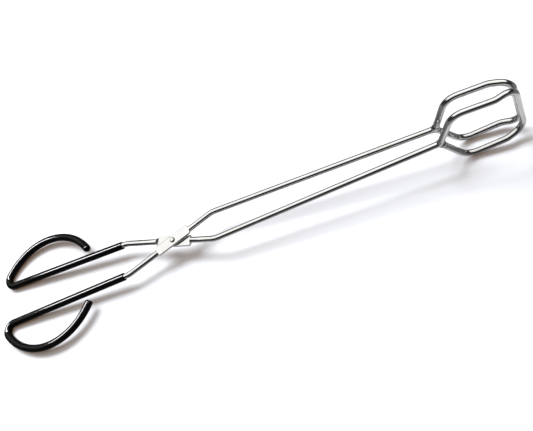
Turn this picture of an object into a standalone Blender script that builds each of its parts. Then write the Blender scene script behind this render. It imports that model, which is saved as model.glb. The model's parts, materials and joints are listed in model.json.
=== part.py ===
"""Scissor-action wire jar lifter: two identical bent-wire arms that cross on one rivet.

Lengths are in metres. The arms are laid out in the tongs' own frame: its origin is the centre of
the rivet, +X runs to the jaws, +Y is one hand's side, and every wire's axis lies in the plane
z = 0 except in the jaws. The whole tool then tips about Y until it rests on the floor, on its
two finger loops and on the lower corners of its two jaws.
"""

import math

import bmesh
import bpy
from mathutils import Matrix, Vector

MM = 0.001

# Wire and sleeve
WIRE_RADIUS = 2.0 * MM
SLEEVE_RADIUS = 2.75 * MM
SLEEVE_BORE_RADIUS = 2.3 * MM
SLEEVE_END_WALL = 0.45 * MM
SLEEVE_END_SHARES = (0.97, 0.80)
CLEARANCE = 0.3 * MM

# Handle: a straight run back from the elbow, a tight bend, then the finger loop's arc
ELBOW_X = -37.4 * MM
ELBOW_Y = -12.0 * MM
HANDLE_SPLAY = math.radians(1.6)
HANDLE_RUN = 102.5 * MM
BACK_BEND_RADIUS = 5.7 * MM
BACK_BEND_ANGLE = math.radians(125.0)
LOOP_RADIUS = 43.6 * MM
LOOP_SWEEP = math.radians(112.5)
SLEEVE_FRONT_SETBACK = 4.0 * MM
LOOP_STEP = math.radians(6.0)

# Shank: from the elbow through the rivet to the shoulder bend, then on to the neck
SHOULDER_X = 31.0 * MM
SHOULDER_Y = 10.0 * MM
NECK_X = 183.7 * MM
NECK_Y = 5.3 * MM
ELBOW_BEND_RADIUS = 15.0 * MM
NECK_BEND_RADIUS = 4.5 * MM

# Jaw: a six-sided loop standing upright on the neck
JAW_Y = 5.9 * MM
JAW_TIP_Y = 2.3 * MM
JAW_BACK_X = 195.3 * MM
JAW_CRANK_X = 219.3 * MM
JAW_FRONT_X = 230.8 * MM
JAW_BACK_HALF_HEIGHT = 23.2 * MM
JAW_FRONT_HALF_HEIGHT = 20.6 * MM
JAW_BACK_BEND_RADIUS = 10.5 * MM
JAW_CRANK_BEND_RADIUS = 12.0 * MM
JAW_FRONT_BEND_RADIUS = 8.0 * MM
WELD_RADIUS = 2.5 * MM
WELD_REACH = 3.3 * MM
BEND_STEPS = 6

# Pivot: a tab pressed flat from each wire, and the rivet through both
TAB_LENGTH = 26.6 * MM
TAB_WIDTH = 7.5 * MM
TAB_TOP = 1.95 * MM
TAB_BOTTOM = 0.15 * MM
TAB_CORNER_RADIUS = 1.2 * MM
WIRE_BITE = 0.6 * MM
RIVET_SHANK_RADIUS = 1.2 * MM
RIVET_HOLE_RADIUS = 1.5 * MM
RIVET_HEAD_RADIUS = 1.8 * MM
RIVET_HEAD_HEIGHT = 0.8 * MM
RIVET_HEAD_EDGE = 0.25 * MM
RIVET_FLAT_RADIUS = 0.9 * MM
HEAD_CLEARANCE = 0.05 * MM

# Mesh detail
TUBE_RESOLUTION = 4
ROUND_SEGMENTS = 32
TAB_CORNER_SEGMENTS = 4
WELD_SEGMENTS = 16
WELD_RINGS = 10
HOLE_CUTTER_DEPTH = 20.0 * MM
MERGE_DISTANCE = 0.01 * MM
SHARP_ANGLE = math.radians(40.0)
EMPTY_SIZE = 20.0 * MM

STEEL = ("bright_plated_steel", (0.80, 0.80, 0.79, 1.0), 0.10, 1.0)
RIVET_STEEL = ("rivet_steel", (0.62, 0.62, 0.61, 1.0), 0.22, 1.0)
VINYL = ("black_vinyl", (0.010, 0.010, 0.011, 1.0), 0.18, 0.0)


# Scene helpers

def clear_scene():
    for obj in list(bpy.data.objects):
        bpy.data.objects.remove(obj)


def new_collection(name):
    collection = bpy.data.collections.new(name)
    bpy.context.scene.collection.children.link(collection)
    return collection


def new_empty(name, collection, parent=None, matrix=None):
    empty = bpy.data.objects.new(name, None)
    empty.empty_display_size = EMPTY_SIZE
    collection.objects.link(empty)
    empty.parent = parent
    empty.matrix_local = matrix or Matrix.Identity(4)
    return empty


def make_material(name, colour, roughness, metallic):
    material = bpy.data.materials.new(name)
    material.use_nodes = True
    shader = material.node_tree.nodes["Principled BSDF"]
    shader.inputs["Base Color"].default_value = colour
    shader.inputs["Roughness"].default_value = roughness
    shader.inputs["Metallic"].default_value = metallic
    material.diffuse_color = colour
    return material


def part_object(name, mesh, collection, parent, material):
    mesh.materials.clear()
    mesh.materials.append(material)
    mesh.shade_smooth()
    mesh.set_sharp_from_angle(angle=SHARP_ANGLE)
    part = bpy.data.objects.new(name, mesh)
    collection.objects.link(part)
    part.parent = parent
    return part


# Centre lines

def rounded_corners(corners, radii, steps):
    """A line through the corners, each inner corner turned into an arc of its radius."""
    line = [corners[0].copy()]
    for before, corner, after, radius in zip(corners, corners[1:], corners[2:], radii):
        back = (before - corner).normalized()
        ahead = (after - corner).normalized()
        half_angle = back.angle(ahead) / 2
        to_centre = (back + ahead).normalized() * (radius / math.sin(half_angle))
        centre = corner + to_centre
        start = corner + back * (radius / math.tan(half_angle)) - centre
        end = corner + ahead * (radius / math.tan(half_angle)) - centre
        for step in range(steps + 1):
            line.append(centre + start.slerp(end, step / steps) * radius)
    line.append(corners[-1].copy())
    return line


def flat_arc(start, heading, radius, sweep):
    """Points of a left-hand arc in the plane z = 0, and the heading at its end."""
    steps = max(4, round(sweep / LOOP_STEP))
    left = Vector((-math.sin(heading), math.cos(heading), 0.0))
    centre = start + left * radius
    points = []
    for step in range(1, steps + 1):
        turned = heading + sweep * step / steps
        outward = Vector((math.sin(turned), -math.cos(turned), 0.0))
        points.append(centre + outward * radius)
    return points, heading + sweep


def elbow():
    return Vector((ELBOW_X, ELBOW_Y, 0.0))


def handle_direction():
    return Vector((-math.cos(HANDLE_SPLAY), -math.sin(HANDLE_SPLAY), 0.0))


def finger_loop_line():
    """From the rear end of the handle's straight run, round the back bend and the loop."""
    start = elbow() + handle_direction() * HANDLE_RUN
    heading = math.pi + HANDLE_SPLAY
    back_bend, heading = flat_arc(start, heading, BACK_BEND_RADIUS, BACK_BEND_ANGLE)
    loop, heading = flat_arc(back_bend[-1], heading, LOOP_RADIUS, LOOP_SWEEP)
    return [start, *back_bend, *loop], heading


def tab_direction():
    return (Vector((SHOULDER_X, SHOULDER_Y, 0.0)) - elbow()).normalized()


def handle_line():
    """From the tab's rear end, round the elbow and along the handle to the loop's free end."""
    tab_end = tab_direction() * -(TAB_LENGTH / 2 - WIRE_BITE)
    loop, _ = finger_loop_line()
    run = rounded_corners([tab_end, elbow(), loop[0]], [ELBOW_BEND_RADIUS], BEND_STEPS)
    return run + loop[1:]


def sleeve_line(overhang):
    """The sleeve's centre line, which runs past the wire's free end by the overhang."""
    front = elbow() + handle_direction() * SLEEVE_FRONT_SETBACK
    loop, heading = finger_loop_line()
    end = loop[-1] + Vector((math.cos(heading), math.sin(heading), 0.0)) * overhang
    return [front, *loop, end]


def jaw_side_height(x):
    """Half the jaw's height at x: its long sides close in a little towards the front."""
    share = (x - JAW_BACK_X) / (JAW_FRONT_X - JAW_BACK_X)
    return JAW_BACK_HALF_HEIGHT + (JAW_FRONT_HALF_HEIGHT - JAW_BACK_HALF_HEIGHT) * share


def neck():
    return Vector((NECK_X, NECK_Y, 0.0))


def jaw_corners():
    """The jaw's corners, from the lower back one round the front to the upper back one."""
    stations = [(JAW_BACK_X, JAW_Y), (JAW_CRANK_X, JAW_Y), (JAW_FRONT_X, JAW_TIP_Y)]
    lower = [Vector((x, y, -jaw_side_height(x))) for x, y in stations]
    upper = [Vector((x, y, jaw_side_height(x))) for x, y in reversed(stations)]
    return lower + upper


def wire_end():
    """Where the wire's end stops, just short of the neck that it is welded to."""
    last_corner = jaw_corners()[-1]
    return neck() + (last_corner - neck()).normalized() * WELD_REACH


def shank_line():
    """From the tab's front end, round the shoulder to the neck, and round the jaw."""
    tab_end = tab_direction() * (TAB_LENGTH / 2 - WIRE_BITE)
    shoulder = Vector((SHOULDER_X, SHOULDER_Y, 0.0))
    corners = [tab_end, shoulder, neck(), *jaw_corners(), wire_end()]
    jaw_radii = [JAW_BACK_BEND_RADIUS, JAW_CRANK_BEND_RADIUS, JAW_FRONT_BEND_RADIUS]
    radii = [ELBOW_BEND_RADIUS, NECK_BEND_RADIUS, *jaw_radii, *reversed(jaw_radii)]
    return rounded_corners(corners, radii, BEND_STEPS)


# Shapes

def tube_mesh(name, line, radius, end_radii=()):
    """A closed round tube along the line. end_radii narrows its last points, as shares."""
    curve = bpy.data.curves.new(name, "CURVE")
    curve.dimensions = "3D"
    curve.bevel_depth = radius
    curve.bevel_resolution = TUBE_RESOLUTION
    curve.use_fill_caps = True
    spline = curve.splines.new("POLY")
    spline.points.add(len(line) - 1)
    for point, place in zip(spline.points, line):
        point.co = (*place, 1.0)
    for point, share in zip(reversed(spline.points), reversed(end_radii)):
        point.radius = share
    holder = bpy.data.objects.new(name, curve)
    bpy.context.scene.collection.objects.link(holder)
    depsgraph = bpy.context.evaluated_depsgraph_get()
    mesh = bpy.data.meshes.new_from_object(holder.evaluated_get(depsgraph))
    bpy.data.objects.remove(holder)
    weld_caps(mesh)
    return mesh


def weld_caps(mesh):
    shape = bmesh.new()
    shape.from_mesh(mesh)
    bmesh.ops.remove_doubles(shape, verts=shape.verts, dist=MERGE_DISTANCE)
    bmesh.ops.recalc_face_normals(shape, faces=shape.faces)
    shape.to_mesh(mesh)
    shape.free()


def tool_object(name, mesh, collection):
    """An object that only cuts or joins: it is kept out of the part."""
    tool = bpy.data.objects.new(name, mesh)
    tool.hide_render = True
    tool.display_type = "WIRE"
    collection.objects.link(tool)
    return tool


def apply_booleans(mesh, tools, operation):
    """The mesh after each tool has been joined to it or cut from it."""
    holder = bpy.data.objects.new(mesh.name, mesh)
    bpy.context.scene.collection.objects.link(holder)
    for tool in tools:
        modifier = holder.modifiers.new(tool.name, "BOOLEAN")
        modifier.operation = operation
        modifier.object = tool
    depsgraph = bpy.context.evaluated_depsgraph_get()
    result = bpy.data.meshes.new_from_object(holder.evaluated_get(depsgraph))
    result.name = mesh.name
    bpy.data.objects.remove(holder)
    return result


def tab_mesh():
    """The flat pivot tab, with its four upright edges rounded, lying along the wire."""
    shape = bmesh.new()
    bmesh.ops.create_cube(shape, size=1.0)
    bmesh.ops.scale(shape, vec=(TAB_LENGTH, TAB_WIDTH, TAB_TOP - TAB_BOTTOM), verts=shape.verts)
    upright = [e for e in shape.edges if abs(e.verts[0].co.z - e.verts[1].co.z) > MM]
    bmesh.ops.bevel(shape, geom=upright, offset=TAB_CORNER_RADIUS,
                    segments=TAB_CORNER_SEGMENTS, profile=0.5, affect="EDGES")
    direction = tab_direction()
    turn = Matrix.Rotation(math.atan2(direction.y, direction.x), 4, "Z")
    lift = Matrix.Translation((0.0, 0.0, (TAB_TOP + TAB_BOTTOM) / 2))
    bmesh.ops.transform(shape, matrix=lift @ turn, verts=shape.verts)
    mesh = bpy.data.meshes.new("tab")
    shape.to_mesh(mesh)
    shape.free()
    return mesh


def weld_mesh():
    """The bead that closes the jaw: it bridges the wire's end and the neck."""
    centre = (neck() + wire_end()) / 2
    shape = bmesh.new()
    bmesh.ops.create_uvsphere(shape, u_segments=WELD_SEGMENTS, v_segments=WELD_RINGS,
                              radius=WELD_RADIUS)
    bmesh.ops.translate(shape, vec=centre, verts=shape.verts)
    mesh = bpy.data.meshes.new("weld")
    shape.to_mesh(mesh)
    shape.free()
    return mesh


def hole_mesh():
    shape = bmesh.new()
    bmesh.ops.create_cone(shape, cap_ends=True, segments=ROUND_SEGMENTS,
                          radius1=RIVET_HOLE_RADIUS, radius2=RIVET_HOLE_RADIUS,
                          depth=HOLE_CUTTER_DEPTH)
    mesh = bpy.data.meshes.new("rivet_hole")
    shape.to_mesh(mesh)
    shape.free()
    return mesh


def arm_mesh(tools):
    """One arm's wire: handle, tab, shank and jaw, joined into one body and drilled."""
    handle = tube_mesh("arm_wire", handle_line(), WIRE_RADIUS)
    joined = [
        tool_object("shank_and_jaw", tube_mesh("shank", shank_line(), WIRE_RADIUS), tools),
        tool_object("tab", tab_mesh(), tools),
        tool_object("weld", weld_mesh(), tools),
    ]
    wire = apply_booleans(handle, joined, "UNION")
    return apply_booleans(wire, [tool_object("rivet_hole", hole_mesh(), tools)], "DIFFERENCE")


def sleeve_mesh(tools):
    """The handle's sleeve: round-ended where it closes over the wire's end, open in front."""
    overhang = CLEARANCE + SLEEVE_END_WALL
    outer = tube_mesh("handle_sleeve", sleeve_line(overhang), SLEEVE_RADIUS,
                      SLEEVE_END_SHARES)
    bore_line = sleeve_line(CLEARANCE)
    bore_line[0] = bore_line[0] - handle_direction() * MM
    bore = tool_object("sleeve_bore", tube_mesh("bore", bore_line, SLEEVE_BORE_RADIUS), tools)
    return apply_booleans(outer, [bore], "DIFFERENCE")


def rivet_profile():
    """Half of the rivet's section, from its top centre down its outer side."""
    head_base = TAB_TOP + HEAD_CLEARANCE
    head_top = head_base + RIVET_HEAD_HEIGHT
    upper = [
        (0.0, head_top),
        (RIVET_FLAT_RADIUS, head_top),
        (RIVET_HEAD_RADIUS - RIVET_HEAD_EDGE, head_top - RIVET_HEAD_EDGE),
        (RIVET_HEAD_RADIUS, head_base + RIVET_HEAD_EDGE),
        (RIVET_HEAD_RADIUS, head_base),
        (RIVET_SHANK_RADIUS, head_base),
    ]
    return upper + [(radius, -height) for radius, height in reversed(upper)]


def rivet_mesh():
    """The rivet, turned about its own axis."""
    shape = bmesh.new()
    ring = [shape.verts.new((radius, 0.0, height)) for radius, height in rivet_profile()]
    for first, second in zip(ring, ring[1:]):
        shape.edges.new((first, second))
    mesh = bpy.data.meshes.new("pivot_rivet")
    shape.to_mesh(mesh)
    shape.free()
    return mesh


def add_turning(part):
    turning = part.modifiers.new("turned", "SCREW")
    turning.steps = ROUND_SEGMENTS
    turning.render_steps = ROUND_SEGMENTS
    turning.use_merge_vertices = True
    turning.merge_threshold = MERGE_DISTANCE


# The tool at rest

def resting_tilt():
    """The angle by which the head is raised, with loops and jaw corners on one floor."""
    loop, _ = finger_loop_line()
    loop_x = min(point.x for point in loop)
    drop = JAW_BACK_HALF_HEIGHT + WIRE_RADIUS - SLEEVE_RADIUS
    return math.atan2(drop, JAW_BACK_X - loop_x)


def set_on_floor(tongs, parts):
    """Moves the tool so that the middle of its box's base is the world's origin."""
    bpy.context.view_layer.update()
    depsgraph = bpy.context.evaluated_depsgraph_get()
    points = []
    for part in parts:
        solid = part.evaluated_get(depsgraph)
        points += [solid.matrix_world @ vertex.co for vertex in solid.data.vertices]
    xs = [point.x for point in points]
    ys = [point.y for point in points]
    lowest = min(point.z for point in points)
    middle = Vector(((min(xs) + max(xs)) / 2, (min(ys) + max(ys)) / 2, lowest))
    tongs.location = -middle
    bpy.context.view_layer.update()


def build_arm(name, collection, parent, wire, sleeve, steel, vinyl):
    return [
        part_object(name + "_arm_wire", wire, collection, parent, steel),
        part_object(name + "_arm_grip", sleeve, collection, parent, vinyl),
    ]


def main():
    clear_scene()
    collection = new_collection("jar_lifter")
    tools = new_collection("cutters")
    steel = make_material(*STEEL)
    vinyl = make_material(*VINYL)

    tongs = new_empty("tongs", collection)
    tongs.rotation_euler.y = -resting_tilt()
    half_turn = Matrix.Rotation(math.pi, 4, "X")
    top_arm = new_empty("top_arm_pivot", collection, tongs)
    bottom_arm = new_empty("bottom_arm_pivot", collection, tongs, half_turn)

    wire = arm_mesh(tools)
    sleeve = sleeve_mesh(tools)
    parts = build_arm("top", collection, top_arm, wire, sleeve, steel, vinyl)
    parts += build_arm("bottom", collection, bottom_arm, wire, sleeve, steel, vinyl)

    rivet = part_object("pivot_rivet", rivet_mesh(), collection, top_arm,
                        make_material(*RIVET_STEEL))
    add_turning(rivet)
    set_on_floor(tongs, [*parts, rivet])


main()
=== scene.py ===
import json
import math

import bmesh
import bpy
from mathutils import Matrix, Vector, noise


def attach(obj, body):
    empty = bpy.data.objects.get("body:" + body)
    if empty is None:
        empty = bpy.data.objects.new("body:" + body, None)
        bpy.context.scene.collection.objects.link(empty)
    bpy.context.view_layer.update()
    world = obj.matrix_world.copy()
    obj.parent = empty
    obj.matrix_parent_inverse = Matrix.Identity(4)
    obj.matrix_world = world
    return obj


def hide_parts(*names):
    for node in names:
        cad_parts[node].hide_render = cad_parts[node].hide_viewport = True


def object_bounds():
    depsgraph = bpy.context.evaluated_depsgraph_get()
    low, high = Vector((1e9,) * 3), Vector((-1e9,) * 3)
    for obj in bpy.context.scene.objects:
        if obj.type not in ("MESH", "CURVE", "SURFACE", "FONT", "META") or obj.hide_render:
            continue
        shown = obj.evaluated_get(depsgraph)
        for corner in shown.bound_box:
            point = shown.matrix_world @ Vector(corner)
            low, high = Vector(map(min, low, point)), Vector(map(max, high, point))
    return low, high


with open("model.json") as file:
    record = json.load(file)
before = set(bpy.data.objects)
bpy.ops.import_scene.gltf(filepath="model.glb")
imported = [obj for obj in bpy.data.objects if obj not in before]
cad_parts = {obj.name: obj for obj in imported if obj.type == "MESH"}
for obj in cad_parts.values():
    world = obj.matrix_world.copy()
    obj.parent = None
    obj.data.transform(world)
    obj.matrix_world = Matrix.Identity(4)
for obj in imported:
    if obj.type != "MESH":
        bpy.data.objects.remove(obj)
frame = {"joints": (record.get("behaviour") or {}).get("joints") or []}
cad_low, cad_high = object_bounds()

# The looks of a wire jar lifter: two bent-wire arms crossed on a rivet, with vinyl-dipped
# handles. Lengths are in metres. Every arm is laid out in the tongs' own frame, whose origin
# is the rivet, with +X towards the jaws and +Z along the rivet; the bottom arm is the top
# arm turned half a turn about X.

MM = 0.001

# Wire and sleeve
WIRE_RADIUS = 2.0 * MM
SLEEVE_RADIUS = 2.75 * MM
SLEEVE_BORE_RADIUS = 2.3 * MM
SLEEVE_END_GAP = 0.75 * MM
SLEEVE_BORE_DEPTH = 6.0 * MM
SLEEVE_LIP_RADIUS = 0.2 * MM
SLEEVE_END_ROUNDING = 1.8 * MM
WIRE_END_SHARE = 0.85

# Handle
ELBOW = (-37.4 * MM, -12.0 * MM)
HANDLE_SPLAY = math.radians(1.6)
HANDLE_RUN = 102.5 * MM
BACK_BEND_RADIUS = 5.7 * MM
BACK_BEND_ANGLE = math.radians(125.0)
LOOP_RADIUS = 43.6 * MM
LOOP_SWEEP = math.radians(112.5)
SLEEVE_FRONT_SETBACK = 4.0 * MM

# Shank
SHOULDER = (31.0 * MM, 10.0 * MM)
NECK = (183.7 * MM, 5.3 * MM)
ELBOW_BEND_RADIUS = 15.0 * MM
NECK_BEND_RADIUS = 4.5 * MM

# Jaw
JAW_Y = 5.9 * MM
JAW_TIP_Y = 2.3 * MM
JAW_BACK_X = 195.3 * MM
JAW_CRANK_X = 219.3 * MM
JAW_FRONT_X = 230.8 * MM
JAW_BACK_HALF_HEIGHT = 23.2 * MM
JAW_FRONT_HALF_HEIGHT = 20.6 * MM
JAW_BACK_BEND_RADIUS = 10.5 * MM
JAW_CRANK_BEND_RADIUS = 12.0 * MM
JAW_FRONT_BEND_RADIUS = 8.0 * MM
WELD_REACH = 3.3 * MM

# Pressed pivot tab
TAB_HALF_LENGTH = 13.3 * MM
TAB_HALF_WIDTH = 3.75 * MM
TAB_TOP = 1.95 * MM
TAB_BOTTOM = 0.15 * MM
TAB_CORNER_RADIUS = 1.2 * MM
ROUND = 2.0
TAB_SQUARENESS = 9.0
SHOULDER_RUN = 0.7 * MM
SHOULDER_START = 0.4 * MM
SHOULDER_SHARES = (-1.0, -0.6, -0.3)
TAB_CORNER_SHARES = (0.0, 0.08, 0.2, 0.4, 0.65, 1.0)
TAB_MIDDLE_SHARES = (0.75, 0.5, 0.25)

# Rivet
RIVET_HOLE_RADIUS = 1.5 * MM
RIVET_SHANK_RADIUS = 1.2 * MM
RIVET_HEAD_RADIUS = 1.8 * MM
RIVET_HEAD_BASE = 2.0 * MM
RIVET_HEAD_HEIGHT = 0.8 * MM
RIVET_EDGE = 0.22 * MM
RIVET_FLAT_RADIUS = 1.05 * MM
RIVET_DISH_RADIUS = 0.45 * MM
RIVET_DISH_DEPTH = 0.06 * MM
RIVET_DISH_EDGE_DEPTH = 0.05 * MM
RIVET_FOOT_RISE = 0.06 * MM
RIVET_FOOT_DRAFT = 0.02 * MM
RIVET_FOOT_INSET = 0.10 * MM
RIVET_RIM_WIDTH = 0.35 * MM
HOLE_CUTTER_DEPTH = 10.0 * MM

# Weld: a small skin over the joint of the wire's end and the neck
WELD_VOXEL = 0.24 * MM
WELD_STEP = 0.6 * MM
WELD_SPREAD = 5.6 * MM
WELD_PROUD = 0.10 * MM
WELD_SUNK = 0.15 * MM
WELD_TAPER_POINTS = 3
WELD_BEAD_RADIUS = 2.45 * MM
WELD_BEAD_STRETCH = 1.12
WELD_BEAD_FLATTENING = 0.9
WELD_BEAD_FINENESS = 3
WELD_END_POINTS = 30
WELD_SMOOTHING = 9
WELD_SMOOTH_FACTOR = 0.5
WELD_WORKED_REACH = 1.5
WELD_WORKED_FADE = 2.6 * MM
WELD_RIPPLE = 0.10 * MM
WELD_RIPPLE_WIDTH = 1.1 * MM

# Mesh fineness
WIRE_SIDES = 32
SLEEVE_SIDES = 36
RIVET_SIDES = 48
BEND_STEP = math.radians(7.0)
LOOP_STEP = math.radians(2.5)
STRAIGHT_STEP = 12.0 * MM
SHARP_ANGLE = math.radians(42.0)
LIP_STEP = 30
ROUNDING_STEP = 15
MERGE_DISTANCE = 0.001 * MM
ON_LINE = 0.05 * MM
ON_TAB_LINE = 0.1 * MM
END_REACH = 2.0 * MM

# Finish. Noise scales are per metre, and (low, high) pairs are where a noise is cut off or
# what it is turned into.
DRAWN_LINE_SCALE = (1500.0, 1500.0, 45.0)
DRAWN_LINE_HEIGHT = 0.006 * MM
DRAWN_LINE_CUT = (0.35, 0.70)
DRAWN_LINE_ROUGHNESS = (0.03, 0.10)
HAZE_SCALE = 90.0
HAZE_CUT = (0.45, 0.75)
HAZE_ROUGHNESS = (0.0, 0.05)
PLATING_COLOURS = ((0.30, (0.80, 0.795, 0.78)), (0.70, (0.90, 0.90, 0.895)))
SPECKLE_SCALE = 1900.0
SPECKLE_CUT = (0.3, 0.7)
SPECKLE_ROUGHNESS = (0.04, 0.11)
PIT_DEPTH = 0.010 * MM
BEND_WORKED = 0.3
BEND_WORKED_RATE = 1.2
DIMPLE_SCALE = 1400.0
DIMPLE_CUT = (0.3, 0.7)
DIMPLE_ROUGHNESS = (0.14, 0.32)
DIMPLE_DEPTH = 0.02 * MM
TARNISH_SCALE = 500.0
TARNISH_CUT = (0.4, 0.8)
TARNISH_AMOUNT = (0.0, 0.35)
# Rivet colours from bright to dark: the dark end is painted shade on the head's rim, and also
# random tarnish.
RIVET_COLOURS = ((0.05, (0.88, 0.87, 0.86)), (0.95, (0.14, 0.135, 0.13)))
VINYL_IOR = 1.5
VINYL_SPECULAR = 0.13
VINYL_COLOURS = ((0.3, (0.002, 0.002, 0.002)), (0.7, (0.004, 0.004, 0.004)))
HANDLED_SCALE = 70.0
HANDLED_CUT = (0.4, 0.75)
HANDLED_ROUGHNESS = (0.05, 0.11)
PEEL_SCALE = 420.0
PEEL_HEIGHT = 0.02 * MM

# Camera
CAMERA_AZIMUTH = math.radians(28.247)
CAMERA_ELEVATION = math.radians(56.242)
CAMERA_ROLL = math.radians(43.412)
CAMERA_DISTANCE = 0.4144
CAMERA_AIM = (28.82 * MM, -12.82 * MM)
CAMERA_SENSOR = 36.0
CAMERA_LENS = 45.264
CAMERA_CLIP = (0.01, 20.0)

# Lamps
LAMP_DISTANCE = 1.6
LAMP_COLOUR = (0.965, 0.965, 1.0)
KEY_DIRECTION = (-0.37, 0.69, 1.0)
KEY_LENGTH = 1.5
KEY_WIDTH = 0.64
KEY_POWER = 46.0
STRIP_DIRECTION = (-0.31, 0.36, 1.0)
STRIP_LENGTH = 1.8
STRIP_WIDTH = 0.26
STRIP_POWER = 270.0

# Floor: its glow near the tool and far off, and the greys that glossy surfaces see in it
FLOOR_RADIUS = 3.0
FLOOR_SIDES = 48
FLOOR_FADE_START = 0.35
FLOOR_FADE_END = 1.0
FLOOR_COLOUR = (0.645, 0.695, 0.74)
FLOOR_ROUGHNESS = 0.9
FLOOR_GLOWS = ((0.0, (0.11, 0.062, 0.032)), (1.0, (1.0, 1.0, 1.0)))
MIRRORED_FLOOR_GREYS = ((0.18, (0.46, 0.46, 0.46)), (0.42, (0.10, 0.10, 0.10)))

# Surroundings
CEILING_NEAR_EDGE = math.radians(-20.0)
CEILING_FAR_EDGE = math.radians(57.0)
CEILING_HALF_LENGTH = 0.72
CEILING_SIDE_SOFTNESS = 0.06
CEILING_END_SOFTNESS = 0.12
CEILING_LIGHT = 1.16
ROOM_LIGHT = 0.03
ROOM_COLOUR = (1.0, 0.982, 0.968)
WHITE = (1.0, 1.0, 1.0)


# Centre lines

def rounded_corners(corners, radii):
    """A line through the corners, each inner corner turned into an arc of its radius."""
    line = [corners[0].copy()]
    for before, corner, after, radius in zip(corners, corners[1:], corners[2:], radii):
        back = (before - corner).normalized()
        ahead = (after - corner).normalized()
        half_angle = back.angle(ahead) / 2
        to_centre = (back + ahead).normalized() * (radius / math.sin(half_angle))
        centre = corner + to_centre
        start = corner + back * (radius / math.tan(half_angle)) - centre
        end = corner + ahead * (radius / math.tan(half_angle)) - centre
        steps = max(3, math.ceil(start.angle(end) / BEND_STEP))
        for step in range(steps + 1):
            line.append(centre + start.slerp(end, step / steps) * radius)
    line.append(corners[-1].copy())
    return line


def flat_arc(start, heading, radius, sweep):
    """Points of a left-hand arc in the plane z = 0, and the heading at its end."""
    step_angle = LOOP_STEP if radius > 4 * SLEEVE_RADIUS else BEND_STEP
    steps = math.ceil(sweep / step_angle)
    centre = start + Vector((-math.sin(heading), math.cos(heading), 0.0)) * radius
    points = []
    for step in range(1, steps + 1):
        turned = heading + sweep * step / steps
        points.append(centre + Vector((math.sin(turned), -math.cos(turned), 0.0)) * radius)
    return points, heading + sweep


def subdivided(line, longest=STRAIGHT_STEP):
    """The line with the runs longer than this cut into shorter ones."""
    points = [line[0]]
    for before, after in zip(line, line[1:]):
        pieces = max(1, math.ceil((after - before).length / longest))
        for piece in range(1, pieces + 1):
            points.append(before.lerp(after, piece / pieces))
    return points


def flat(place):
    """A place in the plane z = 0, which holds the wire's middle."""
    return Vector((place[0], place[1], 0.0))


def handle_direction():
    return Vector((-math.cos(HANDLE_SPLAY), -math.sin(HANDLE_SPLAY), 0.0))


def finger_loop_line():
    """From the rear end of the handle's straight run, round the back bend and the loop."""
    start = flat(ELBOW) + handle_direction() * HANDLE_RUN
    heading = math.pi + HANDLE_SPLAY
    back_bend, heading = flat_arc(start, heading, BACK_BEND_RADIUS, BACK_BEND_ANGLE)
    loop, heading = flat_arc(back_bend[-1], heading, LOOP_RADIUS, LOOP_SWEEP)
    return [start, *back_bend, *loop], heading


def tab_direction():
    return (flat(SHOULDER) - flat(ELBOW)).normalized()


def tab_places():
    """Distances from the rivet at which the pressed tab's section is drawn."""
    wall = [SHOULDER_START * share for share in SHOULDER_SHARES]
    corner = [TAB_CORNER_RADIUS * share for share in TAB_CORNER_SHARES]
    ends = [TAB_HALF_LENGTH - inset for inset in wall + corner]
    middle = [TAB_HALF_LENGTH * share for share in TAB_MIDDLE_SHARES]
    forward = ends + middle
    return [-place for place in forward] + [0.0] + list(reversed(forward))


def jaw_side_height(x):
    share = (x - JAW_BACK_X) / (JAW_FRONT_X - JAW_BACK_X)
    return JAW_BACK_HALF_HEIGHT + (JAW_FRONT_HALF_HEIGHT - JAW_BACK_HALF_HEIGHT) * share


def jaw_corners():
    """The jaw's corners, from the lower back one round the front to the upper back one."""
    stations = [(JAW_BACK_X, JAW_Y), (JAW_CRANK_X, JAW_Y), (JAW_FRONT_X, JAW_TIP_Y)]
    lower = [Vector((x, y, -jaw_side_height(x))) for x, y in stations]
    upper = [Vector((x, y, jaw_side_height(x))) for x, y in reversed(stations)]
    return lower + upper


def wire_end():
    last_corner = jaw_corners()[-1]
    return flat(NECK) + (last_corner - flat(NECK)).normalized() * WELD_REACH


def arm_line():
    """One arm's whole wire: finger loop, handle, tab, shank and jaw, in that order."""
    loop, _ = finger_loop_line()
    first_tab = tab_direction() * tab_places()[0]
    last_tab = tab_direction() * tab_places()[-1]
    handle = rounded_corners([loop[0], flat(ELBOW), first_tab], [ELBOW_BEND_RADIUS])
    jaw_radii = [JAW_BACK_BEND_RADIUS, JAW_CRANK_BEND_RADIUS, JAW_FRONT_BEND_RADIUS]
    radii = [ELBOW_BEND_RADIUS, NECK_BEND_RADIUS, *jaw_radii, *reversed(jaw_radii)]
    corners = [last_tab, flat(SHOULDER), flat(NECK), *jaw_corners(), wire_end()]
    rear = subdivided([*reversed(loop), *handle[1:]])
    tab = [tab_direction() * place for place in tab_places()[1:-1]]
    front = subdivided(rounded_corners(corners, radii))
    return rear + tab + front


# Sections

def superellipse(half_width, half_height, squareness, sides, lift=0.0):
    """A ring of (sideways, upward) offsets, an ellipse at ROUND and squarer above it."""
    ring = []
    for side in range(sides):
        angle = 2 * math.pi * side / sides
        across = math.cos(angle)
        up = math.sin(angle)
        power = 2 / squareness
        ring.append((
            math.copysign(half_width * abs(across) ** power, across),
            lift + math.copysign(half_height * abs(up) ** power, up),
        ))
    return ring


def round_ring(radius, sides):
    return superellipse(radius, radius, ROUND, sides)


def smooth_share(value):
    """The value kept between 0 and 1, with an even start and end."""
    value = min(1.0, max(0.0, value))
    return value * value * (3 - 2 * value)


def tab_half_width(inset):
    """Half the tab's width at this distance in from its end."""
    if inset <= 0:
        share = smooth_share(1 + inset / SHOULDER_START)
        return WIRE_RADIUS + (TAB_HALF_WIDTH - TAB_CORNER_RADIUS - WIRE_RADIUS) * share
    left = max(0.0, TAB_CORNER_RADIUS - inset)
    return TAB_HALF_WIDTH - TAB_CORNER_RADIUS + math.sqrt(TAB_CORNER_RADIUS**2 - left**2)


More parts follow.
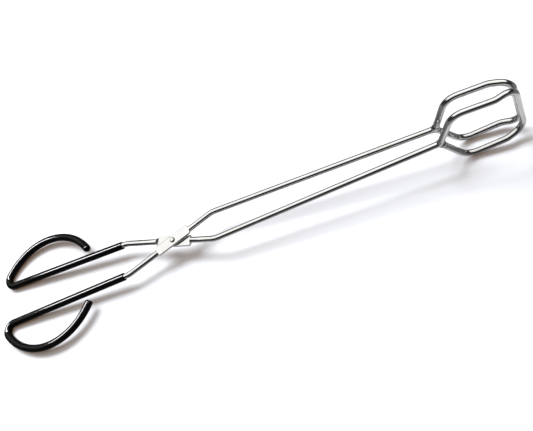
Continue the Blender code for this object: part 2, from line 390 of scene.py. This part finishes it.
def wire_section(point):
    """The wire's section at a point of the arm's line, and how far it is pressed flat."""
    along = point.dot(tab_direction())
    off_line = (point - tab_direction() * along).length
    inset = TAB_HALF_LENGTH - abs(along)
    if off_line > ON_TAB_LINE or inset <= -SHOULDER_START:
        return round_ring(WIRE_RADIUS, WIRE_SIDES), 0.0
    pressed = smooth_share((inset + SHOULDER_START) / SHOULDER_RUN)
    top = WIRE_RADIUS + (TAB_TOP - WIRE_RADIUS) * pressed
    bottom = -WIRE_RADIUS + (TAB_BOTTOM + WIRE_RADIUS) * pressed
    squareness = ROUND + (TAB_SQUARENESS - ROUND) * pressed
    ring = superellipse(tab_half_width(inset), (top - bottom) / 2, squareness, WIRE_SIDES,
                        (top + bottom) / 2)
    return ring, pressed


# Meshes

def line_frames(line):
    """Along, sideways and up at each point, turned no more than the line itself turns."""
    frames = []
    up = Vector((0.0, 0.0, 1.0))
    for index, point in enumerate(line):
        before = line[max(0, index - 1)]
        after = line[min(len(line) - 1, index + 1)]
        incoming = (point - before).normalized() if index else (after - point).normalized()
        outgoing = (after - point).normalized() if after != point else incoming
        along = (incoming + outgoing).normalized()
        up = (up - along * up.dot(along)).normalized()
        frames.append((along, up.cross(along), up))
    return frames


def swept_mesh(name, line, rings, marks, frames=None):
    """A closed skin over a line. It keeps, for its material, where on the wire each point is
    ("lay": round the wire and along it) and a mark of 0 to 1 of where the wire is worked."""
    frames = frames or line_frames(line)
    shape = bmesh.new()
    lay = shape.verts.layers.float_vector.new("lay")
    worked_and_rim_shade = shape.verts.layers.float.new("worked_and_rim_shade")
    rows = []
    travelled = 0.0
    for index, (point, ring, mark) in enumerate(zip(line, rings, marks)):
        travelled += (point - line[index - 1]).length if index else 0.0
        _, sideways, up = frames[index]
        row = []
        for side, (across, lift) in enumerate(ring):
            vertex = shape.verts.new(point + sideways * across + up * lift)
            angle = 2 * math.pi * side / len(ring)
            around = (math.cos(angle) * WIRE_RADIUS, math.sin(angle) * WIRE_RADIUS)
            vertex[lay] = Vector((*around, travelled))
            vertex[worked_and_rim_shade] = mark
            row.append(vertex)
        rows.append(row)
    for row, following in zip(rows, rows[1:]):
        for side in range(len(row)):
            beside = (side + 1) % len(row)
            shape.faces.new((row[side], row[beside], following[beside], following[side]))
    shape.faces.new(reversed(rows[0]))
    shape.faces.new(rows[-1])
    bmesh.ops.recalc_face_normals(shape, faces=shape.faces)
    mesh = bpy.data.meshes.new(name)
    shape.to_mesh(mesh)
    shape.free()
    return mesh


def smooth_shaded(mesh):
    mesh.shade_smooth()
    mesh.set_sharp_from_angle(angle=SHARP_ANGLE)
    return mesh


def with_modifier(mesh, kind, settings):
    """The mesh after one modifier of that kind, with these settings, has been applied."""
    holder = bpy.data.objects.new(mesh.name, mesh)
    bpy.context.scene.collection.objects.link(holder)
    modifier = holder.modifiers.new(kind, kind)
    for setting, value in settings.items():
        setattr(modifier, setting, value)
    depsgraph = bpy.context.evaluated_depsgraph_get()
    result = bpy.data.meshes.new_from_object(holder.evaluated_get(depsgraph))
    result.name = mesh.name
    bpy.data.objects.remove(holder)
    return result


def drilled(mesh, radius):
    """The mesh with the rivet's hole through it."""
    shape = bmesh.new()
    bmesh.ops.create_cone(shape, cap_ends=True, segments=RIVET_SIDES, radius1=radius,
                          radius2=radius, depth=HOLE_CUTTER_DEPTH)
    drill_mesh = bpy.data.meshes.new("drill")
    shape.to_mesh(drill_mesh)
    shape.free()
    drill = bpy.data.objects.new("drill", drill_mesh)
    bpy.context.scene.collection.objects.link(drill)
    settings = {"operation": "DIFFERENCE", "object": drill, "solver": "EXACT"}
    result = with_modifier(mesh, "BOOLEAN", settings)
    bpy.data.objects.remove(drill)
    return result


def turning_at(line, index):
    """How sharply the line turns at a point, in radians a millimetre."""
    if index == 0 or index == len(line) - 1:
        return 0.0
    incoming = line[index] - line[index - 1]
    outgoing = line[index + 1] - line[index]
    return incoming.angle(outgoing) / ((incoming.length + outgoing.length) / 2 / MM)


def wire_mesh():
    """One arm's wire, marked as worked where it is pressed flat or bent."""
    line = arm_line()
    sections = [wire_section(point) for point in line]
    rings = [ring for ring, _ in sections]
    rings[0] = round_ring(WIRE_END_SHARE * WIRE_RADIUS, WIRE_SIDES)
    bends = [min(BEND_WORKED, BEND_WORKED_RATE * turning_at(line, index))
             for index in range(len(line))]
    marks = [max(pressed, bend) for (_, pressed), bend in zip(sections, bends)]
    mesh = drilled(swept_mesh("arm_wire_skin", line, rings, marks), RIVET_HOLE_RADIUS)
    return smooth_shaded(mesh)


def sleeve_stations():
    """The sleeve's line with a radius at each point: in along the bore, round the front
    lip, back along the outside, and round the closed rear end."""
    loop, heading = finger_loop_line()
    front = flat(ELBOW) + handle_direction() * SLEEVE_FRONT_SETBACK
    rear = handle_direction()
    lip_middle = (SLEEVE_RADIUS + SLEEVE_BORE_RADIUS) / 2
    lip_half = (SLEEVE_RADIUS - SLEEVE_BORE_RADIUS) / 2
    stations = [(front + rear * SLEEVE_BORE_DEPTH, SLEEVE_BORE_RADIUS)]
    for degrees in range(180, -1, -LIP_STEP):
        angle = math.radians(degrees)
        back = SLEEVE_LIP_RADIUS * (1 - math.sin(angle))
        stations.append((front + rear * back, lip_middle + lip_half * math.cos(angle)))
    run = subdivided([front + rear * SLEEVE_LIP_RADIUS * 2, loop[0]])
    before_end = [p for p in loop[1:] if (p - loop[-1]).length > SLEEVE_END_ROUNDING]
    stations += [(point, SLEEVE_RADIUS) for point in run + before_end]
    onward = Vector((math.cos(heading), math.sin(heading), 0.0))
    end = loop[-1] + onward * (SLEEVE_END_GAP - SLEEVE_END_ROUNDING)
    for degrees in range(0, 91, ROUNDING_STEP):
        angle = math.radians(degrees)
        shrink = SLEEVE_END_ROUNDING * (1 - math.cos(angle))
        point = end + onward * SLEEVE_END_ROUNDING * math.sin(angle)
        stations.append((point, SLEEVE_RADIUS - shrink))
    return stations


def sleeve_frames(stations):
    """Frames square to the sleeve's own line, whichever way its stations run."""
    frames = []
    up = Vector((0.0, 0.0, 1.0))
    rear = handle_direction()
    loop, heading = finger_loop_line()
    for index, (point, _) in enumerate(stations):
        at_end = all((p - point).length <= END_REACH for p, _ in stations[index + 1:])
        straight = (point - flat(ELBOW)).cross(rear).length < ON_LINE
        if straight or at_end:
            end_heading = Vector((math.cos(heading), math.sin(heading), 0.0))
            along = rear if straight else end_heading
        else:
            before = stations[index - 1][0]
            after = stations[index + 1][0]
            along = ((point - before).normalized() + (after - point).normalized()).normalized()
        frames.append((along, up.cross(along), up))
    return frames


def sleeve_mesh():
    stations = sleeve_stations()
    line = [point for point, _ in stations]
    rings = [round_ring(radius, SLEEVE_SIDES) for _, radius in stations]
    marks = [0.0] * len(line)
    mesh = swept_mesh("arm_sleeve_skin", line, rings, marks, sleeve_frames(stations))
    return smooth_shaded(mesh)


def rivet_profile():
    """Half of the rivet's section, from its top centre down its outer side."""
    top = RIVET_HEAD_BASE + RIVET_HEAD_HEIGHT
    upper = [
        (0.0, top - RIVET_DISH_DEPTH),
        (RIVET_DISH_RADIUS, top - RIVET_DISH_EDGE_DEPTH),
        (RIVET_FLAT_RADIUS, top),
    ]
    dome = RIVET_HEAD_RADIUS - RIVET_FLAT_RADIUS
    drop = RIVET_HEAD_HEIGHT - RIVET_EDGE
    for degrees in range(ROUNDING_STEP, 91, ROUNDING_STEP):
        angle = math.radians(degrees)
        upper.append((
            RIVET_FLAT_RADIUS + dome * math.sin(angle),
            top - drop * (1 - math.cos(angle)),
        ))
    upper.append((RIVET_HEAD_RADIUS - RIVET_FOOT_DRAFT, RIVET_HEAD_BASE + RIVET_FOOT_RISE))
    upper.append((RIVET_HEAD_RADIUS - RIVET_FOOT_INSET, RIVET_HEAD_BASE))
    upper.append((RIVET_SHANK_RADIUS, RIVET_HEAD_BASE))
    return upper + [(radius, -height) for radius, height in reversed(upper)]


def rivet_mesh():
    """The rivet, turned about its own axis, with the rim of its heads marked for painted shade.
    """
    shape = bmesh.new()
    ring = [shape.verts.new((radius, 0.0, height)) for radius, height in rivet_profile()]
    edges = [shape.edges.new(pair) for pair in zip(ring, ring[1:])]
    bmesh.ops.spin(shape, geom=ring + edges, cent=(0, 0, 0), axis=(0, 0, 1),
                   angle=2 * math.pi, steps=RIVET_SIDES, use_merge=True)
    bmesh.ops.remove_doubles(shape, verts=shape.verts, dist=MERGE_DISTANCE)
    bmesh.ops.recalc_face_normals(shape, faces=shape.faces)
    mesh = bpy.data.meshes.new("pivot_rivet_head")
    shape.to_mesh(mesh)
    shape.free()
    # The mark rises across the head's rim; the rivet's material darkens the rim by it as
    # painted shade.
    rim_shade_mark = mesh.attributes.new("worked_and_rim_shade", "FLOAT", "POINT")
    for vertex, mark in zip(mesh.vertices, rim_shade_mark.data):
        mark.value = smooth_share((vertex.co.xy.length - RIVET_FLAT_RADIUS) / RIVET_RIM_WIDTH)
    return smooth_shaded(mesh)


# Weld

def nearby_run(line, centre, first, last):
    """The part of the line between two indices that lies close to the centre."""
    return [p for p in line[first:last] if (p - centre).length < WELD_SPREAD]


def tapered_tube(line):
    """A short tube, a little fatter than the wire, sinking into it at its two ends."""
    rings = []
    for index in range(len(line)):
        reach = min(index, len(line) - 1 - index) / WELD_TAPER_POINTS
        rise = (WELD_PROUD + WELD_SUNK) * smooth_share(reach)
        rings.append(round_ring(WIRE_RADIUS - WELD_SUNK + rise, WIRE_SIDES))
    return swept_mesh("weld_tube", line, rings, [0.0] * len(line))


def rough_weld(centre):
    """The passing wire, the arriving wire's end and a bead between them, not yet fused."""
    line = subdivided(arm_line(), WELD_STEP)
    passing = nearby_run(line, centre, 0, len(line) // 2 + len(line) // 3)
    arriving = nearby_run(line, centre, len(line) - WELD_END_POINTS, len(line))
    shape = bmesh.new()
    shape.from_mesh(tapered_tube(passing))
    shape.from_mesh(tapered_tube([*arriving, wire_end().lerp(flat(NECK), 0.5)]))
    bead = bmesh.ops.create_icosphere(shape, subdivisions=WELD_BEAD_FINENESS,
                                      radius=WELD_BEAD_RADIUS)
    for vertex in bead["verts"]:
        vertex.co.x *= WELD_BEAD_STRETCH
        vertex.co.z *= WELD_BEAD_FLATTENING
        vertex.co += centre
    mesh = bpy.data.meshes.new("arm_weld_bead")
    shape.to_mesh(mesh)
    shape.free()
    return mesh


def weld_mesh():
    """The weld fused into one skin, with faint ripples that fade out away from its bead."""
    centre = (flat(NECK) + wire_end()) / 2
    mesh = with_modifier(rough_weld(centre), "REMESH",
                         {"mode": "VOXEL", "voxel_size": WELD_VOXEL})
    mesh = with_modifier(mesh, "SMOOTH",
                         {"factor": WELD_SMOOTH_FACTOR, "iterations": WELD_SMOOTHING})
    shape = bmesh.new()
    shape.from_mesh(mesh)
    lay = shape.verts.layers.float_vector.new("lay")
    worked_and_rim_shade = shape.verts.layers.float.new("worked_and_rim_shade")
    shape.normal_update()
    for vertex in shape.verts:
        away = (vertex.co - centre).length / WELD_WORKED_FADE
        near = smooth_share(WELD_WORKED_REACH - away)
        ripple = noise.noise(vertex.co / WELD_RIPPLE_WIDTH) * WELD_RIPPLE * near
        vertex.co += vertex.normal * ripple
        vertex[lay] = vertex.co
        vertex[worked_and_rim_shade] = near
    shape.to_mesh(mesh)
    shape.free()
    mesh.shade_smooth()
    return mesh


# Materials

def new_material(name):
    material = bpy.data.materials.new(name)
    material.use_nodes = True
    return material, material.node_tree, material.node_tree.nodes["Principled BSDF"]


def node(tree, kind, **settings):
    made = tree.nodes.new(kind)
    for setting, value in settings.items():
        setattr(made, setting, value)
    return made


def opaque(colour):
    return (*colour, 1.0)


def attribute(tree, name):
    return node(tree, "ShaderNodeAttribute", attribute_name=name)


def stretched_noise(tree, source, scales, detail):
    """Noise over a vector socket, with one scale per metre or one along each axis."""
    mapping = node(tree, "ShaderNodeMapping")
    each_way = scales if isinstance(scales, tuple) else (scales, scales, scales)
    mapping.inputs["Scale"].default_value = each_way
    tree.links.new(source, mapping.inputs["Vector"])
    cloud = node(tree, "ShaderNodeTexNoise")
    cloud.inputs["Scale"].default_value = 1.0
    cloud.inputs["Detail"].default_value = detail
    tree.links.new(mapping.outputs["Vector"], cloud.inputs["Vector"])
    return cloud.outputs["Fac"]


def ranged(tree, source, cut, result=(0.0, 1.0)):
    """The source, cut off below and above, then turned into a range of its own."""
    scale = node(tree, "ShaderNodeMapRange", clamp=True)
    for name, value in zip(("From Min", "From Max", "To Min", "To Max"), (*cut, *result)):
        scale.inputs[name].default_value = value
    tree.links.new(source, scale.inputs["Value"])
    return scale.outputs["Result"]


def combined(tree, operation, first, second=0.0):
    joined = node(tree, "ShaderNodeMath", operation=operation)
    for socket, value in zip(joined.inputs, (first, second)):
        if isinstance(value, bpy.types.NodeSocket):
            tree.links.new(value, socket)
        else:
            socket.default_value = value
    return joined.outputs["Value"]


def coloured(tree, source, stops):
    """The source as a colour, between two stops of (position, colour)."""
    ramp = node(tree, "ShaderNodeValToRGB")
    for element, (position, colour) in zip(ramp.color_ramp.elements, stops):
        element.position = position
        element.color = opaque(colour)
    tree.links.new(source, ramp.inputs["Fac"])
    return ramp.outputs["Color"]


def add_bump(tree, shader, height, distance, after=None):
    bump = node(tree, "ShaderNodeBump")
    bump.inputs["Strength"].default_value = 1.0
    bump.inputs["Distance"].default_value = distance
    tree.links.new(height, bump.inputs["Height"])
    if after:
        tree.links.new(after, bump.inputs["Normal"])
    tree.links.new(bump.outputs["Normal"], shader.inputs["Normal"])
    return bump.outputs["Normal"]


def plated_wire_material():
    """Bright plated wire: drawing lines along it, faint haze, and a satin, finely speckled
    skin wherever the wire has been pressed, bent or welded."""
    material, tree, shader = new_material("bright_plated_wire")
    shader.inputs["Metallic"].default_value = 1.0
    lay = attribute(tree, "lay").outputs["Vector"]
    worked_and_rim_shade = attribute(tree, "worked_and_rim_shade").outputs["Fac"]
    place = node(tree, "ShaderNodeTexCoord").outputs["Object"]
    lines = stretched_noise(tree, lay, DRAWN_LINE_SCALE, 3.0)
    haze = stretched_noise(tree, place, HAZE_SCALE, 4.0)
    speckle = stretched_noise(tree, place, SPECKLE_SCALE, 2.0)

    tree.links.new(coloured(tree, haze, PLATING_COLOURS), shader.inputs["Base Color"])
    clean = ranged(tree, lines, DRAWN_LINE_CUT, DRAWN_LINE_ROUGHNESS)
    hazy = ranged(tree, haze, HAZE_CUT, HAZE_ROUGHNESS)
    grainy = ranged(tree, speckle, SPECKLE_CUT, SPECKLE_ROUGHNESS)
    satin = combined(tree, "MULTIPLY", worked_and_rim_shade, grainy)
    rough = combined(tree, "ADD", combined(tree, "ADD", clean, hazy), satin)
    tree.links.new(rough, shader.inputs["Roughness"])

    drawn = add_bump(tree, shader, lines, DRAWN_LINE_HEIGHT)
    pits = combined(tree, "MULTIPLY", worked_and_rim_shade, speckle)
    add_bump(tree, shader, pits, PIT_DEPTH, drawn)
    return material


def rivet_material():
    """Bright rivet steel, finely dimpled on top, with random tarnish and painted shade
    darkening the rim around the head.
    """
    material, tree, shader = new_material("set_rivet_steel")
    shader.inputs["Metallic"].default_value = 1.0
    place = node(tree, "ShaderNodeTexCoord").outputs["Object"]
    dimples = stretched_noise(tree, place, DIMPLE_SCALE, 3.0)
    tarnish = stretched_noise(tree, place, TARNISH_SCALE, 3.0)
    # The rim mark paints shade on the head's rim; the tarnish noise adds random tone on top.
    rim = attribute(tree, "worked_and_rim_shade").outputs["Fac"]
    tarnish_and_rim_shade = combined(tree, "ADD", rim, ranged(tree, tarnish, TARNISH_CUT, TARNISH_AMOUNT))
    tree.links.new(coloured(tree, tarnish_and_rim_shade, RIVET_COLOURS), shader.inputs["Base Color"])
    tree.links.new(ranged(tree, dimples, DIMPLE_CUT, DIMPLE_ROUGHNESS),
                   shader.inputs["Roughness"])
    add_bump(tree, shader, dimples, DIMPLE_DEPTH)
    return material


def vinyl_material():
    """Glossy black dipped vinyl: a faint orange-peel skin and slightly handled patches."""
    material, tree, shader = new_material("glossy_black_vinyl")
    shader.inputs["IOR"].default_value = VINYL_IOR
    shader.inputs["Specular IOR Level"].default_value = VINYL_SPECULAR
    place = node(tree, "ShaderNodeTexCoord").outputs["Object"]
    peel = stretched_noise(tree, place, PEEL_SCALE, 2.0)
    handled = stretched_noise(tree, place, HANDLED_SCALE, 4.0)
    tree.links.new(coloured(tree, handled, VINYL_COLOURS), shader.inputs["Base Color"])
    tree.links.new(ranged(tree, handled, HANDLED_CUT, HANDLED_ROUGHNESS),
                   shader.inputs["Roughness"])
    add_bump(tree, shader, peel, PEEL_HEIGHT)
    return material


# Pieces

def tongs_matrix():
    """The tongs' own frame, from the record's hinge: the rivet's place and axis."""
    joint = frame["joints"][0]
    up = -Vector(joint["axis"]).normalized()
    across = Vector((0.0, 1.0, 0.0))
    ahead = across.cross(up)
    matrix = Matrix((ahead, across, up)).transposed().to_4x4()
    matrix.translation = Vector(joint["pos_m"])
    return matrix


def add_piece(name, mesh, matrix, material, body, node_name=None):
    """A piece on its body. Its mesh is moved into place, and the piece stays at the origin."""
    mesh = mesh.copy()
    mesh.materials.clear()
    mesh.materials.append(material)
    mesh.transform(matrix)
    piece = bpy.data.objects.new(name, mesh)
    bpy.context.scene.collection.objects.link(piece)
    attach(piece, body)
    if node_name:
        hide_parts(node_name)
    return piece


def build_tongs():
    """All the visible pieces. The two arms share their meshes, and the sleeves are returned."""
    tongs = tongs_matrix()
    turned = tongs @ Matrix.Rotation(math.pi, 4, "X")
    steel = plated_wire_material()
    vinyl = vinyl_material()
    wire = wire_mesh()
    weld = weld_mesh()
    sleeve = sleeve_mesh()
    sleeves = []
    for arm, matrix in (("top_arm", tongs), ("bottom_arm", turned)):
        add_piece(arm + "_wire_skin", wire, matrix, steel, arm, arm + "_wire")
        add_piece(arm + "_weld_bead", weld, matrix, steel, arm)
        sleeves.append(add_piece(arm + "_sleeve_skin", sleeve, matrix, vinyl, arm,
                                 arm + "_grip"))
    add_piece("pivot_rivet_skin", rivet_mesh(), tongs, rivet_material(), "top_arm",
              "pivot_rivet")
    return sleeves


# Studio

def switched_by_ray(tree, kind, usual, for_kind):
    """One shader, and another for rays of this kind."""
    rays = node(tree, "ShaderNodeLightPath")
    mix = node(tree, "ShaderNodeMixShader")
    tree.links.new(rays.outputs[kind], mix.inputs["Fac"])
    tree.links.new(usual, mix.inputs[1])
    tree.links.new(for_kind, mix.inputs[2])
    return mix.outputs["Shader"]


def floor_material():
    """A pale floor that glows faintly and warmly near the tool, which lifts its shadows, and
    white far from it, so that it has no edge. Glossy surfaces see a darker floor, and
    darkest where they see it at a slant, as a studio is beyond its lit middle."""
    material, tree, shader = new_material("pale_floor")
    shader.inputs["Base Color"].default_value = opaque(FLOOR_COLOUR)
    shader.inputs["Roughness"].default_value = FLOOR_ROUGHNESS
    shader.inputs["Specular IOR Level"].default_value = 0.0
    shader.inputs["Emission Strength"].default_value = 1.0
    from_middle = node(tree, "ShaderNodeVectorMath", operation="LENGTH")
    tree.links.new(node(tree, "ShaderNodeTexCoord").outputs["Object"],
                   from_middle.inputs["Vector"])
    outwards = ranged(tree, from_middle.outputs["Value"], (FLOOR_FADE_START, FLOOR_FADE_END))
    tree.links.new(coloured(tree, outwards, FLOOR_GLOWS), shader.inputs["Emission Color"])
    dimmer = node(tree, "ShaderNodeBsdfDiffuse")
    slant = node(tree, "ShaderNodeLayerWeight").outputs["Facing"]
    tree.links.new(coloured(tree, slant, MIRRORED_FLOOR_GREYS), dimmer.inputs["Color"])
    surface = switched_by_ray(tree, "Is Glossy Ray", shader.outputs["BSDF"],
                              dimmer.outputs["BSDF"])
    tree.links.new(surface, tree.nodes["Material Output"].inputs["Surface"])
    return material


def add_floor():
    shape = bmesh.new()
    bmesh.ops.create_circle(shape, cap_ends=True, segments=FLOOR_SIDES, radius=FLOOR_RADIUS)
    mesh = bpy.data.meshes.new("floor")
    shape.to_mesh(mesh)
    shape.free()
    mesh.materials.append(floor_material())
    floor = bpy.data.objects.new("floor", mesh)
    bpy.context.scene.collection.objects.link(floor)


def add_softbox(name, centre, direction, length, width, power):
    """A long lamp parallel to the X axis, facing the tool from this direction."""
    light = bpy.data.lights.new(name, "AREA")
    light.shape = "RECTANGLE"
    light.size = length
    light.size_y = width
    light.energy = power
    light.color = LAMP_COLOUR
    lamp = bpy.data.objects.new(name, light)
    towards = Vector(direction).normalized()
    across = towards.cross(Vector((1.0, 0.0, 0.0))).normalized()
    matrix = Matrix((across.cross(towards), across, towards)).transposed().to_4x4()
    matrix.translation = centre + towards * LAMP_DISTANCE
    lamp.matrix_world = matrix
    bpy.context.scene.collection.objects.link(lamp)
    return lamp


def add_lights(centre, sleeves):
    """A soft key that isn't seen in reflections, and a strip that is seen in nothing but the
    sleeves, where it draws their line of gloss."""
    key = add_softbox("key_softbox", centre, KEY_DIRECTION, KEY_LENGTH, KEY_WIDTH, KEY_POWER)
    key.visible_glossy = False
    strip = add_softbox("strip_light", centre, STRIP_DIRECTION, STRIP_LENGTH, STRIP_WIDTH,
                        STRIP_POWER)
    strip.visible_diffuse = False
    glossed = bpy.data.collections.new("glossed_by_strip")
    for piece in sleeves:
        glossed.objects.link(piece)
    strip.light_linking.receiver_collection = glossed


def beyond_edge(tree, direction, angle, sign):
    """1 on one side of a plane through the X axis at this angle from upright, else 0."""
    side = node(tree, "ShaderNodeVectorMath", operation="DOT_PRODUCT")
    side.inputs[1].default_value = (0.0, sign * math.cos(angle), -sign * math.sin(angle))
    tree.links.new(direction, side.inputs[0])
    return ranged(tree, side.outputs["Value"], (-CEILING_SIDE_SOFTNESS, CEILING_SIDE_SOFTNESS))


def add_surroundings():
    """A long white ceiling panel over and behind the tool, in an otherwise dark room. The
    camera itself sees plain white."""
    world = bpy.data.worlds.new("studio")
    bpy.context.scene.world = world
    world.use_nodes = True
    tree = world.node_tree
    background = tree.nodes["Background"]
    direction = node(tree, "ShaderNodeTexCoord").outputs["Generated"]
    near_edge = beyond_edge(tree, direction, CEILING_NEAR_EDGE, 1.0)
    far_edge = beyond_edge(tree, direction, CEILING_FAR_EDGE, -1.0)
    apart = node(tree, "ShaderNodeSeparateXYZ")
    tree.links.new(direction, apart.inputs["Vector"])
    lengthways = combined(tree, "ABSOLUTE", apart.outputs["X"])
    end_cut = (CEILING_HALF_LENGTH, CEILING_HALF_LENGTH + CEILING_END_SOFTNESS)
    ends = ranged(tree, lengthways, end_cut, (1.0, 0.0))
    panel = combined(tree, "MULTIPLY", combined(tree, "MULTIPLY", near_edge, far_edge), ends)
    background.inputs["Color"].default_value = opaque(ROOM_COLOUR)
    tree.links.new(ranged(tree, panel, (0.0, 1.0), (ROOM_LIGHT, CEILING_LIGHT)),
                   background.inputs["Strength"])
    backdrop = node(tree, "ShaderNodeBackground")
    backdrop.inputs["Color"].default_value = opaque(WHITE)
    surface = switched_by_ray(tree, "Is Camera Ray", background.outputs["Background"],
                              backdrop.outputs["Background"])
    tree.links.new(surface, tree.nodes["World Output"].inputs["Surface"])


def add_camera(centre):
    """The camera, turned about its own axis so that the tool lies across the picture."""
    right = Vector((math.cos(CAMERA_AZIMUTH), math.sin(CAMERA_AZIMUTH), 0.0))
    level = Vector((-math.sin(CAMERA_AZIMUTH), math.cos(CAMERA_AZIMUTH), 0.0))
    down = Vector((0.0, 0.0, -1.0))
    ahead = level * math.cos(CAMERA_ELEVATION) + down * math.sin(CAMERA_ELEVATION)
    up = right.cross(ahead)
    turned_right = right * math.cos(CAMERA_ROLL) - up * math.sin(CAMERA_ROLL)
    turned_up = right * math.sin(CAMERA_ROLL) + up * math.cos(CAMERA_ROLL)
    lens = bpy.data.cameras.new("camera")
    lens.sensor_width = CAMERA_SENSOR
    lens.lens = CAMERA_LENS
    lens.clip_start, lens.clip_end = CAMERA_CLIP
    camera = bpy.data.objects.new("camera", lens)
    matrix = Matrix((turned_right, turned_up, -ahead)).transposed().to_4x4()
    matrix.translation = centre + Vector((*CAMERA_AIM, 0.0)) - ahead * CAMERA_DISTANCE
    camera.matrix_world = matrix
    bpy.context.scene.collection.objects.link(camera)
    bpy.context.scene.camera = camera


def set_up_studio(sleeves):
    centre = (cad_low + cad_high) / 2
    add_floor()
    add_lights(centre, sleeves)
    add_surroundings()
    add_camera(centre)
    bpy.context.scene.view_settings.view_transform = "Standard"


set_up_studio(build_tongs())
